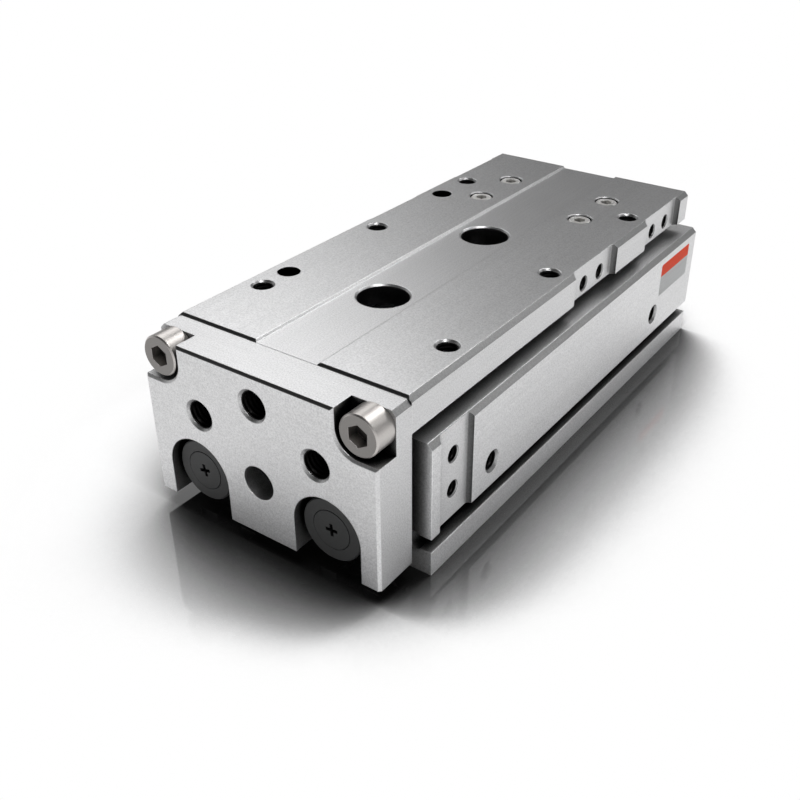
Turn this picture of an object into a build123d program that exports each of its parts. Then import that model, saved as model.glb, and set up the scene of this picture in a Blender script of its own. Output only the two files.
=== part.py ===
"""Pneumatic slide table with two cylinders side by side, drawn in.

X is the width, +Y points from the end plate to the rear, +Z is up. The origin lies on the base face,
midway between the two mounting holes. The table, the end plate, the guide block and both rods travel
forwards, along -Y.
"""
import os
from math import cos, radians, sin

from build123d import *

os.makedirs("parts", exist_ok=True)

# Body: two bores between walls, with the guide's channel above them
BORE_R = 8.0
SIDE_WALL = 6.65
BORE_WEB = 16.7
BORE_FLOOR = 3.8
BORE_ROOF = 1.6
CHANNEL_DEPTH = 8.6
BODY_EDGE = 1.1
DRILL_MARGIN = 1.0

# Mounting of the body
MOUNT_PITCH = 40.0
MOUNT_FIRST = 27.4
MOUNT_HOLE_R = 3.3
BOLT_ACCESS_R = 5.5
BASE_TAP_R = 2.5
BASE_TAP_DEPTH = 9.0
BASE_PIN_R = 2.0
BASE_PIN_DEPTH = 4.0
BASE_PIN_PITCH = 60.0
BASE_SLOT_LENGTH = 5.0

# Cylinders
ROD_R = 4.0
STROKE = 75.0
RUNNING_GAP = 0.05
SEAT_GAP = 0.02

# Rod covers, head caps and what is in them
COVER_BORE_STEP = 0.3
COVER_SEAT_DEPTH = 16.0
COVER_RING_INSET = 1.2
RING_THICKNESS = 1.1
RING_RADIAL = 1.7
RING_GROOVE = 0.5
RING_MOUTH = 70.0
RING_EYE_R = 1.5
RING_HOLE_R = 0.5
BUSH_WALL = 1.3
BUSH_LENGTH = 7.5
ROD_SEAL_LENGTH = 3.0
ROD_SEAL_DEPTH = 2.2
ORING_SECTION = 1.5
ORING_SQUEEZE = 0.15
FRONT_DAMPER = 2.5
REAR_DAMPER = 2.0
DAMPER_GAP = 0.6
FRONT_DAMPER_HOLE_R = 5.0
REAR_DAMPER_HOLE_R = 2.3
CAP_THICKNESS = 4.5
CAP_RING_INSET = 1.4
CAP_RECESS_R = 4.6
CAP_RECESS_DEPTH = 1.6

# Pistons
PISTON_LENGTH = 23.0
PISTON_CLEARANCE = 0.1
SPIGOT_R = 5.8
SPIGOT_LENGTH = 4.5
PISTON_SEAL_WIDTH = 3.0
PISTON_SEAL_DEPTH = 1.8
MAGNET_WIDTH = 3.0
MAGNET_DEPTH = 2.0
WEAR_WIDTH = 2.4
WEAR_DEPTH = 0.9
PISTON_LAND = 1.4

# Sensor grooves along both sides of the body
GROOVE_R = 2.0
GROOVE_INSET = 3.8
SLIT_BOTTOM = 5.45
SLIT_WIDTH = 3.15

# Side pockets and holes of the body
POCKET_START = 2.8
POCKET_LENGTH = 11.3
POCKET_DEPTH = 1.0
POCKET_CUTTER_R = 1.2
STOP_HOLE_R = 1.65
STOP_HOLE_PITCH = 8.0
STOP_HOLE_DEPTH = 5.0
STOP_HOLE_DROP = 10.9
STOP_HOLE_EDGE = 0.22
PORT_R = 2.1
PORT_DEPTH = 5.0
PORT_EDGE = 0.5
PORT_RISE = 2.55
FRONT_PORT_LEAD = 3.0
REAR_PORT = 24.3
AIRWAY_R = 1.0
GALLERY_INSET = 3.5
GALLERY_BALL_R = 1.25
PLUG_LENGTH = 4.0
PLUG_HEX = 2.5
PLUG_HEX_DEPTH = 2.2

# Guide rail and ball guide block
RAIL_HEIGHT = 8.5
RAIL_INSET = 0.7
RAIL_END_SCREW = 5.5
RAIL_EDGE = 0.4
GUIDE_HEIGHT = 14.0
BLOCK_WIDTH = 40.0
BLOCK_LEG = 8.0
BLOCK_LENGTH = 30.0
BLOCK_UNDERCUT = 3.4
BLOCK_SETBACK = 26.0
BLOCK_EDGE = 0.6
CHANNEL_GAP = 0.6
RAIL_GAP = 0.25
BALL_R = 1.2
BALL_LIFT = 5.5
BALL_BITE = 0.45
BALL_PITCH = 2.7
RETURN_WALL = 2.4
END_CAP_WALL = 0.325
END_CAP_INSET = 0.3
SCRAPER_THICKNESS = 1.0
SCRAPER_INSET = 0.5
CAP_SCREW_INSET = 6.4
CAP_SCREW_DROP = 5.2
CAP_SCREW_HEAD_R = 1.5
CAP_SCREW_HEAD = 1.0
CAP_SCREW_R = 0.8
CAP_SCREW_LENGTH = 8.0

# Table
TABLE_INSET = 2.5
TABLE_PLATE = 5.1
TABLE_GAP = 3.1
TABLE_SETBACK = 3.3
TABLE_EDGE = 1.0
GROOVE_HALF = 7.4
GROOVE_DEPTH = 0.5
TABLE_POCKET_DEPTH = 1.2
TABLE_POCKET_LENGTH = 21.0
TABLE_CUTTER_R = 1.5
FRONT_POCKET_SETBACK = 63.7
REAR_POCKET_SETBACK = 26.1
TABLE_STOP_HOLE_DROP = 4.7
TABLE_STOP_HOLE_WALL = 1.7
TOP_HOLE_FIRST = 19.1
TOP_HOLE_PITCH = 40.0
TOP_HOLE_INSET = 5.35
TOP_TAP_R = 2.15
TOP_TAP_EDGE = 0.4
DOWEL_R = 2.5
DOWEL_DEPTH = 5.0
DOWEL_FIRST = 27.3
DOWEL_PITCH = 59.6
ACCESS_EDGE = 0.4
BLOCK_SCREW_INSET = 6.0
BLOCK_SCREW_PITCH = 15.0
BLOCK_SCREW_R = 1.5
BLOCK_SCREW_HEAD_R = 2.75
BLOCK_SCREW_HEAD = 3.0
BLOCK_SCREW_HEX = 2.5
BLOCK_SCREW_LENGTH = 5.0
BLOCK_BORE_R = 2.9
BLOCK_BORE_DEPTH = 3.3
BLOCK_BORE_EDGE = 0.22

# End plate
PLATE_GAP = 2.8
PLATE_THICKNESS = 10.0
PLATE_BOTTOM = 3.9
PLATE_EDGE = 0.5
SLOT_HALF = 7.9
SLOT_DEPTH = 6.0
NOTCH_R = 5.1
NOTCH_DEPTH = 5.4
PLATE_BOLT_INSET = 4.4
PLATE_HOLE_R = 3.0
PLATE_HOLE_EDGE = 0.5
PLATE_HOLE_SPACING = 28.8
PLATE_HOLE_DROP = 14.2
PLATE_TOP_HOLE_DROP = 6.9
PLATE_LOW_HOLE_RISE = 4.6
PLATE_LOW_HOLE_R = 3.7

# Cap screws of the end plate and of the rail: radius, head radius, head height, hexagon and length
PLATE_BOLT_R = 2.5
PLATE_BOLT_HEAD_R = 4.25
PLATE_BOLT_HEAD = 5.0
PLATE_BOLT_HEX = 4.0
PLATE_BOLT_LENGTH = 16.0
RAIL_SCREW_R = 2.0
RAIL_SCREW_HEAD_R = 3.5
RAIL_SCREW_HEAD = 4.0
RAIL_SCREW_HEX = 3.0
RAIL_SCREW_LENGTH = 10.0
RAIL_BORE_R = 4.0
RAIL_BORE_DEPTH = 4.5
HEAD_EDGE = 0.3

# Rod ends in the slots of the end plate
DISC_R = 6.8
DISC_RECESS = 1.45
DISC_EDGE = 0.25
NECK_R = 3.25
NECK_SLOT_GAP = 0.2
COLLAR_R = 6.0
COLLAR_THICKNESS = 1.6
ROD_SCREW_HEAD_R = 4.2
ROD_SCREW_R = 2.0
ROD_SCREW_LENGTH = 12.0
ROD_SCREW_RIM = 0.35
ROD_SCREW_RISE = 0.05
SINK_GAP = 0.15
CROSS_SPAN = 2.8
CROSS_WIDTH = 0.75
CROSS_DEPTH = 1.5
CROSS_TAPER = 8.0
LEFT_CROSS_TURN = 14.0
RIGHT_CROSS_TURN = 4.0

# Widths and heights that follow from the sizes above
BORE_SPACING = 2 * BORE_R + BORE_WEB
BODY_WIDTH = BORE_SPACING + 2 * (BORE_R + SIDE_WALL)
BORE_Z = BORE_FLOOR + BORE_R
RAIL_SEAT_Z = BORE_Z + BORE_R + BORE_ROOF
BODY_HEIGHT = RAIL_SEAT_Z + CHANNEL_DEPTH
COVER_BORE_R = BORE_R + COVER_BORE_STEP
DAMPER_R = BORE_R - DAMPER_GAP
PORT_Z = BORE_Z + PORT_RISE
STOP_HOLE_Z = BODY_HEIGHT - STOP_HOLE_DROP
SLIT_Z = SLIT_BOTTOM + SLIT_WIDTH / 2
GROOVE_X = BODY_WIDTH / 2 - GROOVE_INSET
GALLERY_X = BODY_WIDTH / 2 - GALLERY_INSET
RAIL_WIDTH = BLOCK_WIDTH - 2 * BLOCK_LEG
RAIL_TOP = RAIL_SEAT_Z + RAIL_HEIGHT
BLOCK_TOP = RAIL_SEAT_Z + GUIDE_HEIGHT
BLOCK_BOTTOM = RAIL_SEAT_Z + BLOCK_UNDERCUT
CHANNEL_HALF = BLOCK_WIDTH / 2 + CHANNEL_GAP
BALL_Z = RAIL_SEAT_Z + BALL_LIFT
BALL_X = RAIL_WIDTH / 2 + BALL_R - BALL_BITE
RETURN_X = BLOCK_WIDTH / 2 - RETURN_WALL
RACE_R = BALL_R + RUNNING_GAP
END_CAP_LENGTH = (RETURN_X - BALL_X) / 2 + RACE_R + END_CAP_WALL
CAP_SCREW_X = BLOCK_WIDTH / 2 - CAP_SCREW_INSET
CAP_SCREW_Z = BLOCK_TOP - CAP_SCREW_DROP
BLOCK_SCREW_X = BLOCK_WIDTH / 2 - BLOCK_SCREW_INSET
TABLE_WIDTH = BODY_WIDTH - 2 * TABLE_INSET
TABLE_SKIRT_Z = BODY_HEIGHT + TABLE_GAP
TABLE_TOP = BLOCK_TOP + TABLE_PLATE
TOP_HOLE_X = TABLE_WIDTH / 2 - TOP_HOLE_INSET
TABLE_POCKET_X = TABLE_WIDTH / 2 - TABLE_POCKET_DEPTH
TABLE_STOP_HOLE_Z = TABLE_TOP - TABLE_STOP_HOLE_DROP
PLATE_TOP = TABLE_TOP - GROOVE_DEPTH
PLATE_BOLT_X = TABLE_WIDTH / 2 - PLATE_BOLT_INSET
PLATE_BOLT_Z = TABLE_TOP - PLATE_BOLT_INSET
PLATE_HOLE_Z = TABLE_TOP - PLATE_HOLE_DROP
PLATE_TOP_HOLE_Z = TABLE_TOP - PLATE_TOP_HOLE_DROP
PLATE_LOW_HOLE_Z = BORE_Z + PLATE_LOW_HOLE_RISE

# Places along the travel that follow from the sizes above
BODY_FRONT = -(MOUNT_FIRST + MOUNT_PITCH / 2)
COVER_END = BODY_FRONT + COVER_SEAT_DEPTH
FRONT_STOP = COVER_END + FRONT_DAMPER
PISTON_FRONT = FRONT_STOP + STROKE
PISTON_REAR = PISTON_FRONT + PISTON_LENGTH
CAP_FRONT = PISTON_REAR + REAR_DAMPER
CAP_REAR = CAP_FRONT + CAP_THICKNESS
BODY_REAR = CAP_REAR + RING_THICKNESS + CAP_RING_INSET
BODY_LENGTH = BODY_REAR - BODY_FRONT
COVER_FRONT = BODY_FRONT + COVER_RING_INSET + RING_THICKNESS
PLATE_BACK = BODY_FRONT - PLATE_GAP
PLATE_FRONT = PLATE_BACK - PLATE_THICKNESS
TABLE_REAR = BODY_REAR - TABLE_SETBACK
TABLE_LENGTH = TABLE_REAR - PLATE_BACK
BLOCK_Y = TABLE_REAR - BLOCK_SETBACK
RAIL_FRONT = BODY_FRONT + RAIL_INSET
RAIL_REAR = BODY_REAR - RAIL_INSET
POCKET_MIDDLE = BODY_FRONT + POCKET_START + POCKET_LENGTH / 2
FRONT_PORT_Y = FRONT_STOP + FRONT_PORT_LEAD
REAR_PORT_Y = BODY_REAR - REAR_PORT
GALLERY_OUT_Y = PISTON_REAR - SPIGOT_LENGTH / 2
DISC_FRONT = PLATE_FRONT + DISC_RECESS
WEB_FRONT = PLATE_FRONT + SLOT_DEPTH
DISC_BACK = WEB_FRONT - RUNNING_GAP
COLLAR_FRONT = PLATE_BACK + RUNNING_GAP
COLLAR_BACK = COLLAR_FRONT + COLLAR_THICKNESS
ROD_END = PISTON_REAR - SPIGOT_LENGTH

SIDES = (("left", -1, LEFT_CROSS_TURN), ("right", 1, RIGHT_CROSS_TURN))
MOUNT_YS = (-MOUNT_PITCH / 2, MOUNT_PITCH / 2)
RAIL_SCREW_YS = (-MOUNT_PITCH, 0, MOUNT_PITCH, RAIL_REAR - RAIL_END_SCREW)
TOP_HOLE_YS = [PLATE_BACK + TOP_HOLE_FIRST + TOP_HOLE_PITCH * row for row in range(3)]
DOWEL_YS = (PLATE_BACK + DOWEL_FIRST, PLATE_BACK + DOWEL_FIRST + DOWEL_PITCH)
BLOCK_SCREWS = [
    (side * BLOCK_SCREW_X, BLOCK_Y + end * BLOCK_SCREW_PITCH / 2) for side in (-1, 1) for end in (-1, 1)
]
CAP_SCREWS = ((-CAP_SCREW_X, CAP_SCREW_Z), (CAP_SCREW_X, CAP_SCREW_Z))
PLATE_HOLES = (
    (-PLATE_HOLE_SPACING / 2, PLATE_HOLE_Z),
    (PLATE_HOLE_SPACING / 2, PLATE_HOLE_Z),
    (0, PLATE_TOP_HOLE_Z),
)
PLATE_BOLTS = ((-PLATE_BOLT_X, PLATE_BOLT_Z), (PLATE_BOLT_X, PLATE_BOLT_Z))
BORES = ((-BORE_SPACING / 2, BORE_Z), (BORE_SPACING / 2, BORE_Z))
TABLE_POCKETS = (TABLE_REAR - FRONT_POCKET_SETBACK, TABLE_REAR - REAR_POCKET_SETBACK)


def across(y):
    """Plane square to the travel: local x is X, local y is Z, and it extrudes forwards."""
    return Plane.XZ.offset(-y)


def along(x, z=BORE_Z):
    """Plane through a cylinder's axis: local x is Y, and local y is the radius."""
    return Plane(origin=(x, 0, z), x_dir=(0, 1, 0), z_dir=(1, 0, 0))


def travel_axis(x, z=BORE_Z):
    """Line along the travel through x and z."""
    return Axis((x, 0, z), (0, 1, 0))


def side_plane(x):
    """Plane that faces +X at x: local x is Y, local y is Z."""
    return Plane(origin=(x, 0, 0), x_dir=(0, 1, 0), z_dir=(1, 0, 0))


def side_face(side, x):
    """Plane that faces outwards on one side (-1 or 1), at the distance x: local x is Y times the side."""
    return Plane(origin=(side * x, 0, 0), x_dir=(0, side, 0), z_dir=(side, 0, 0))


# Body: extruded profile with the guide channel and the sensor grooves, then drilled and milled
with BuildPart() as body:
    with BuildSketch(across(BODY_REAR)) as profile:
        with Locations((0, BODY_HEIGHT / 2)):
            Rectangle(BODY_WIDTH, BODY_HEIGHT)
        chamfer(profile.vertices().group_by(Axis.Y)[-1], BODY_EDGE)
        with Locations((0, (RAIL_SEAT_Z + BODY_HEIGHT) / 2)):
            Rectangle(2 * CHANNEL_HALF, BODY_HEIGHT - RAIL_SEAT_Z, mode=Mode.SUBTRACT)
        with Locations((-GROOVE_X, SLIT_Z), (GROOVE_X, SLIT_Z)):
            Circle(GROOVE_R, mode=Mode.SUBTRACT)
        with Locations((-BODY_WIDTH / 2, SLIT_Z), (BODY_WIDTH / 2, SLIT_Z)):
            Rectangle(2 * GROOVE_INSET, SLIT_WIDTH, mode=Mode.SUBTRACT)
        with Locations(*BORES):
            Circle(BORE_R, mode=Mode.SUBTRACT)
    extrude(amount=BODY_LENGTH)
    # Wider seats for the rod covers
    with BuildSketch(across(COVER_END)):
        with Locations(*BORES):
            Circle(COVER_BORE_R)
    extrude(amount=COVER_SEAT_DEPTH, mode=Mode.SUBTRACT)
    # Grooves for the retaining rings
    with BuildSketch(across(COVER_FRONT)):
        with Locations(*BORES):
            Circle(COVER_BORE_R + RING_GROOVE)
    extrude(amount=RING_THICKNESS, mode=Mode.SUBTRACT)
    with BuildSketch(across(CAP_REAR + RING_THICKNESS)):
        with Locations(*BORES):
            Circle(BORE_R + RING_GROOVE)
    extrude(amount=RING_THICKNESS, mode=Mode.SUBTRACT)
    # Pockets for a stroke adjuster, near the front of both sides
    with BuildSketch(Plane.XY.offset(SLIT_Z)):
        pocket_reach = 4 * POCKET_CUTTER_R
        pocket_x = BODY_WIDTH / 2 - POCKET_DEPTH + pocket_reach / 2
        with Locations((-pocket_x, POCKET_MIDDLE), (pocket_x, POCKET_MIDDLE)):
            RectangleRounded(pocket_reach, POCKET_LENGTH, POCKET_CUTTER_R)
    extrude(amount=BODY_HEIGHT, mode=Mode.SUBTRACT)
    # Mounting holes, from the rail seat through the base
    with Locations(*[(0, y, RAIL_SEAT_Z) for y in MOUNT_YS]):
        Hole(MOUNT_HOLE_R, depth=RAIL_SEAT_Z)
    # Tapped holes for the rail screws
    with Locations(*[(0, y, RAIL_SEAT_Z) for y in RAIL_SCREW_YS]):
        Hole(RAIL_SCREW_R + SEAT_GAP, depth=RAIL_SCREW_LENGTH - RAIL_HEIGHT + RAIL_BORE_DEPTH + DRILL_MARGIN)
    # Tapped holes, locating hole and locating slot in the base
    with BuildSketch(Plane.XY):
        with Locations((0, -MOUNT_PITCH), (0, MOUNT_PITCH)):
            Circle(BASE_TAP_R)
    extrude(amount=BASE_TAP_DEPTH, mode=Mode.SUBTRACT)
    with BuildSketch(Plane.XY):
        with Locations((0, -BASE_PIN_PITCH / 2)):
            Circle(BASE_PIN_R)
        with Locations((0, BASE_PIN_PITCH / 2)):
            SlotOverall(BASE_SLOT_LENGTH, 2 * BASE_PIN_R, rotation=90)
    extrude(amount=BASE_PIN_DEPTH, mode=Mode.SUBTRACT)
    for _, side, _ in SIDES:
        # Air ports with their drilled ways into the bore
        with Locations(side_face(side, BODY_WIDTH / 2)):
            with Locations((side * FRONT_PORT_Y, PORT_Z), (side * REAR_PORT_Y, PORT_Z)):
                CounterSinkHole(PORT_R, PORT_R + PORT_EDGE, depth=PORT_DEPTH)
            with Locations((side * FRONT_PORT_Y, PORT_Z)):
                Hole(AIRWAY_R, depth=BODY_WIDTH / 2)
        with BuildSketch(side_plane(0)):
            with Locations((GALLERY_OUT_Y, PORT_Z)):
                Circle(AIRWAY_R)
        extrude(amount=side * GALLERY_X, mode=Mode.SUBTRACT)
        with BuildSketch(across(BODY_REAR)):
            with Locations((side * GALLERY_X, PORT_Z)):
                Circle(AIRWAY_R)
        extrude(amount=BODY_REAR - REAR_PORT_Y, mode=Mode.SUBTRACT)
        with BuildSketch(across(BODY_REAR)):
            with Locations((side * GALLERY_X, PORT_Z)):
                Circle(GALLERY_BALL_R + SEAT_GAP)
        extrude(amount=3 * GALLERY_BALL_R, mode=Mode.SUBTRACT)
        # Tapped holes in the pocket
        with Locations(side_face(side, BODY_WIDTH / 2 - POCKET_DEPTH)):
            with Locations(*[
                (side * POCKET_MIDDLE, STOP_HOLE_Z + step * STOP_HOLE_PITCH / 2) for step in (-1, 1)
            ]):
                CounterSinkHole(STOP_HOLE_R, STOP_HOLE_R + STOP_HOLE_EDGE, depth=STOP_HOLE_DEPTH)
body.part.label = "body"
export_step(body.part, "parts/body.step")

# Guide rail: ball grooves along both sides, bolt clearance holes and counterbored screw holes
with BuildPart() as guide_rail:
    with BuildSketch(across(RAIL_REAR)) as profile:
        with Locations((0, RAIL_SEAT_Z + RAIL_HEIGHT / 2)):
            Rectangle(RAIL_WIDTH, RAIL_HEIGHT)
        chamfer(profile.vertices(), RAIL_EDGE)
        with Locations((-BALL_X, BALL_Z), (BALL_X, BALL_Z)):
            Circle(RACE_R, mode=Mode.SUBTRACT)
    extrude(amount=RAIL_REAR - RAIL_FRONT)
    with Locations(*[(0, y, RAIL_TOP) for y in MOUNT_YS]):
        Hole(BOLT_ACCESS_R, depth=RAIL_HEIGHT)
    with Locations(*[(0, y, RAIL_TOP) for y in RAIL_SCREW_YS]):
        CounterBoreHole(RAIL_SCREW_R + 2 * RUNNING_GAP, RAIL_BORE_R, RAIL_BORE_DEPTH, depth=RAIL_HEIGHT)
guide_rail.part.label = "guide_rail"
export_step(guide_rail.part, "parts/guide_rail.step")

# Rail screws: socket heads sunk in the rail
with BuildPart() as rail_screws:
    rail_head_seat = RAIL_TOP - RAIL_BORE_DEPTH
    for y in RAIL_SCREW_YS:
        with Locations((0, y, rail_head_seat)):
            Cylinder(RAIL_SCREW_HEAD_R, RAIL_SCREW_HEAD, align=(Align.CENTER, Align.CENTER, Align.MIN))
            Cylinder(RAIL_SCREW_R, RAIL_SCREW_LENGTH, align=(Align.CENTER, Align.CENTER, Align.MAX))
    with BuildSketch(Plane.XY.offset(rail_head_seat + RAIL_SCREW_HEAD)):
        with Locations(*[(0, y) for y in RAIL_SCREW_YS]):
            RegularPolygon(RAIL_SCREW_HEX / 2, 6, major_radius=False)
    extrude(amount=-RAIL_SCREW_HEAD / 2, mode=Mode.SUBTRACT)
rail_screws.part.label = "rail_screws"
export_step(rail_screws.part, "parts/rail_screws.step")


def ring_profile(inner_r, outer_r, start, end):
    """Closed profile of a plain ring, on the plane given by along()."""
    with Locations(((start + end) / 2, (inner_r + outer_r) / 2)):
        Rectangle(end - start, outer_r - inner_r)


# The two cylinders: what is fixed in each bore, and what moves in it
BUSH_R = ROD_R + BUSH_WALL
SEAL_R = ROD_R + ROD_SEAL_DEPTH
COVER_R = COVER_BORE_R - SEAT_GAP
CAP_R = BORE_R - SEAT_GAP
ORING_DEPTH = ORING_SECTION - ORING_SQUEEZE
BUSH_START = COVER_END - BUSH_LENGTH
SEAL_START = COVER_FRONT + PISTON_LAND
COVER_ORING_Y = (COVER_FRONT + COVER_END) / 2
CAP_ORING_Y = (CAP_FRONT + CAP_REAR) / 2
PISTON_R = BORE_R - PISTON_CLEARANCE
LAND_START = PISTON_FRONT + SPIGOT_LENGTH
SEAL_Y = LAND_START + PISTON_LAND
MAGNET_Y = SEAL_Y + PISTON_SEAL_WIDTH + PISTON_LAND
WEAR_Y = MAGNET_Y + MAGNET_WIDTH + PISTON_LAND

for name, side, cross_turn in SIDES:
    bore_x = side * BORE_SPACING / 2

    # Rod cover with the pockets of the bush and the packing, and the groove of its static seal
    with BuildPart() as rod_cover:
        with BuildSketch(along(bore_x)):
            ring_profile(ROD_R + 3 * RUNNING_GAP, COVER_R, COVER_FRONT, COVER_END)
        revolve(axis=travel_axis(bore_x))
        with BuildSketch(along(bore_x)):
            ring_profile(ROD_R, BUSH_R, BUSH_START, COVER_END)
            ring_profile(ROD_R, SEAL_R, SEAL_START, SEAL_START + ROD_SEAL_LENGTH)
            ring_profile(COVER_R - ORING_DEPTH, BORE_R + 1, COVER_ORING_Y - ORING_SECTION / 2,
                         COVER_ORING_Y + ORING_SECTION / 2)
        revolve(axis=travel_axis(bore_x), mode=Mode.SUBTRACT)
    rod_cover.part.label = f"{name}_rod_cover"
    export_step(rod_cover.part, f"parts/{name}_rod_cover.step")

    with BuildPart() as rod_bush:
        with BuildSketch(along(bore_x)):
            ring_profile(ROD_R + RUNNING_GAP, BUSH_R - SEAT_GAP, BUSH_START, COVER_END)
        revolve(axis=travel_axis(bore_x))
    rod_bush.part.label = f"{name}_rod_bush"
    export_step(rod_bush.part, f"parts/{name}_rod_bush.step")

    # Lip packing: the lips face the pressure, and the groove between them opens towards the piston
    with BuildPart() as rod_seal:
        with BuildSketch(along(bore_x)):
            ring_profile(ROD_R + RUNNING_GAP, SEAL_R - SEAT_GAP, SEAL_START, SEAL_START + ROD_SEAL_LENGTH)
        revolve(axis=travel_axis(bore_x))
        with BuildSketch(along(bore_x)):
            lip_middle = (ROD_R + SEAL_R) / 2
            with BuildLine():
                Polyline(
                    (SEAL_START + ROD_SEAL_LENGTH / 2, lip_middle),
                    (SEAL_START + ROD_SEAL_LENGTH, lip_middle - ROD_SEAL_DEPTH / 4),
                    (SEAL_START + ROD_SEAL_LENGTH, lip_middle + ROD_SEAL_DEPTH / 4),
                    close=True,
                )
            make_face()
        revolve(axis=travel_axis(bore_x), mode=Mode.SUBTRACT)
    rod_seal.part.label = f"{name}_rod_seal"
    export_step(rod_seal.part, f"parts/{name}_rod_seal.step")

    # Static seals, squeezed to the depth of their grooves
    with BuildPart() as cover_oring:
        with BuildSketch(along(bore_x)):
            with Locations((COVER_ORING_Y, COVER_BORE_R - ORING_DEPTH / 2)):
                Ellipse(ORING_SECTION / 2 - SEAT_GAP, ORING_DEPTH / 2 - SEAT_GAP)
        revolve(axis=travel_axis(bore_x))
    cover_oring.part.label = f"{name}_cover_oring"
    export_step(cover_oring.part, f"parts/{name}_cover_oring.step")

    with BuildPart() as cap_oring:
        with BuildSketch(along(bore_x)):
            with Locations((CAP_ORING_Y, BORE_R - ORING_DEPTH / 2)):
                Ellipse(ORING_SECTION / 2 - SEAT_GAP, ORING_DEPTH / 2 - SEAT_GAP)
        revolve(axis=travel_axis(bore_x))
    cap_oring.part.label = f"{name}_cap_oring"
    export_step(cap_oring.part, f"parts/{name}_cap_oring.step")

    # Retaining rings: open at the bottom, with an eye at each end for the pliers
    for ring_name, ring_back, hold_r in (
        ("front_ring", COVER_FRONT, COVER_BORE_R),
        ("rear_ring", CAP_REAR + RING_THICKNESS, BORE_R),
    ):
        with BuildPart() as retaining_ring:
            ring_r = hold_r + RING_GROOVE - SEAT_GAP
            with BuildSketch(across(ring_back)):
                with Locations((bore_x, BORE_Z)):
                    Circle(ring_r)
                    Circle(ring_r - RING_RADIAL, mode=Mode.SUBTRACT)
                mouth_half = ring_r * sin(radians(RING_MOUTH / 2))
                with BuildLine():
                    Polyline(
                        (bore_x, BORE_Z),
                        (bore_x - 2 * mouth_half, BORE_Z - 2 * ring_r * cos(radians(RING_MOUTH / 2))),
                        (bore_x + 2 * mouth_half, BORE_Z - 2 * ring_r * cos(radians(RING_MOUTH / 2))),
                        close=True,
                    )
                make_face(mode=Mode.SUBTRACT)
                eye_r = ring_r - RING_RADIAL
                eye_spots = [
                    (bore_x + turn * eye_r * sin(radians(RING_MOUTH / 2)),
                     BORE_Z - eye_r * cos(radians(RING_MOUTH / 2)))
                    for turn in (-1, 1)
                ]
                with Locations(*eye_spots):
                    Circle(RING_EYE_R)
                    Circle(RING_HOLE_R, mode=Mode.SUBTRACT)
            extrude(amount=RING_THICKNESS)
        retaining_ring.part.label = f"{name}_{ring_name}"
        export_step(retaining_ring.part, f"parts/{name}_{ring_name}.step")

    # Rubber stops on the cover and on the cap
    with BuildPart() as front_damper:
        with BuildSketch(along(bore_x)):
            ring_profile(FRONT_DAMPER_HOLE_R, DAMPER_R, COVER_END, FRONT_STOP)
        revolve(axis=travel_axis(bore_x))
    front_damper.part.label = f"{name}_front_damper"
    export_step(front_damper.part, f"parts/{name}_front_damper.step")

    with BuildPart() as rear_damper:
        with BuildSketch(along(bore_x)):
            ring_profile(REAR_DAMPER_HOLE_R, DAMPER_R, PISTON_REAR, CAP_FRONT)
        revolve(axis=travel_axis(bore_x))
    rear_damper.part.label = f"{name}_rear_damper"
    export_step(rear_damper.part, f"parts/{name}_rear_damper.step")

    # Head cap with the groove of its static seal and a shallow recess outside
    with BuildPart() as head_cap:
        with BuildSketch(along(bore_x)):
            with BuildLine():
                Polyline(
                    (CAP_FRONT, 0),
                    (CAP_FRONT, CAP_R),
                    (CAP_ORING_Y - ORING_SECTION / 2, CAP_R),
                    (CAP_ORING_Y - ORING_SECTION / 2, CAP_R - ORING_DEPTH),
                    (CAP_ORING_Y + ORING_SECTION / 2, CAP_R - ORING_DEPTH),
                    (CAP_ORING_Y + ORING_SECTION / 2, CAP_R),
                    (CAP_REAR, CAP_R),
                    (CAP_REAR, CAP_RECESS_R),
                    (CAP_REAR - CAP_RECESS_DEPTH, CAP_RECESS_R),
                    (CAP_REAR - CAP_RECESS_DEPTH, 0),
                    close=True,
                )
            make_face()
        revolve(axis=travel_axis(bore_x))
    head_cap.part.label = f"{name}_head_cap"
    export_step(head_cap.part, f"parts/{name}_head_cap.step")

    # Piston: a spigot at each end lets the air in at the stops, and three grooves carry its rings
    with BuildPart() as piston:
        with BuildSketch(along(bore_x)):
            with BuildLine():
                Polyline(
                    (PISTON_FRONT, ROD_R + SEAT_GAP),
                    (PISTON_FRONT, SPIGOT_R),
                    (LAND_START, SPIGOT_R),
                    (LAND_START, PISTON_R),
                    (SEAL_Y, PISTON_R),
                    (SEAL_Y, PISTON_R - PISTON_SEAL_DEPTH),
                    (SEAL_Y + PISTON_SEAL_WIDTH, PISTON_R - PISTON_SEAL_DEPTH),
                    (SEAL_Y + PISTON_SEAL_WIDTH, PISTON_R),
                    (MAGNET_Y, PISTON_R),
                    (MAGNET_Y, PISTON_R - MAGNET_DEPTH),
                    (MAGNET_Y + MAGNET_WIDTH, PISTON_R - MAGNET_DEPTH),
                    (MAGNET_Y + MAGNET_WIDTH, PISTON_R),
                    (WEAR_Y, PISTON_R),
                    (WEAR_Y, PISTON_R - WEAR_DEPTH),
                    (WEAR_Y + WEAR_WIDTH, PISTON_R - WEAR_DEPTH),
                    (WEAR_Y + WEAR_WIDTH, PISTON_R),
                    (ROD_END, PISTON_R),
                    (ROD_END, SPIGOT_R),
                    (PISTON_REAR, SPIGOT_R),
                    (PISTON_REAR, 0),
                    (ROD_END, 0),
                    (ROD_END, ROD_R + SEAT_GAP),
                    close=True,
                )
            make_face()
        revolve(axis=travel_axis(bore_x))
    piston.part.label = f"{name}_piston"
    export_step(piston.part, f"parts/{name}_piston.step")

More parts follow.
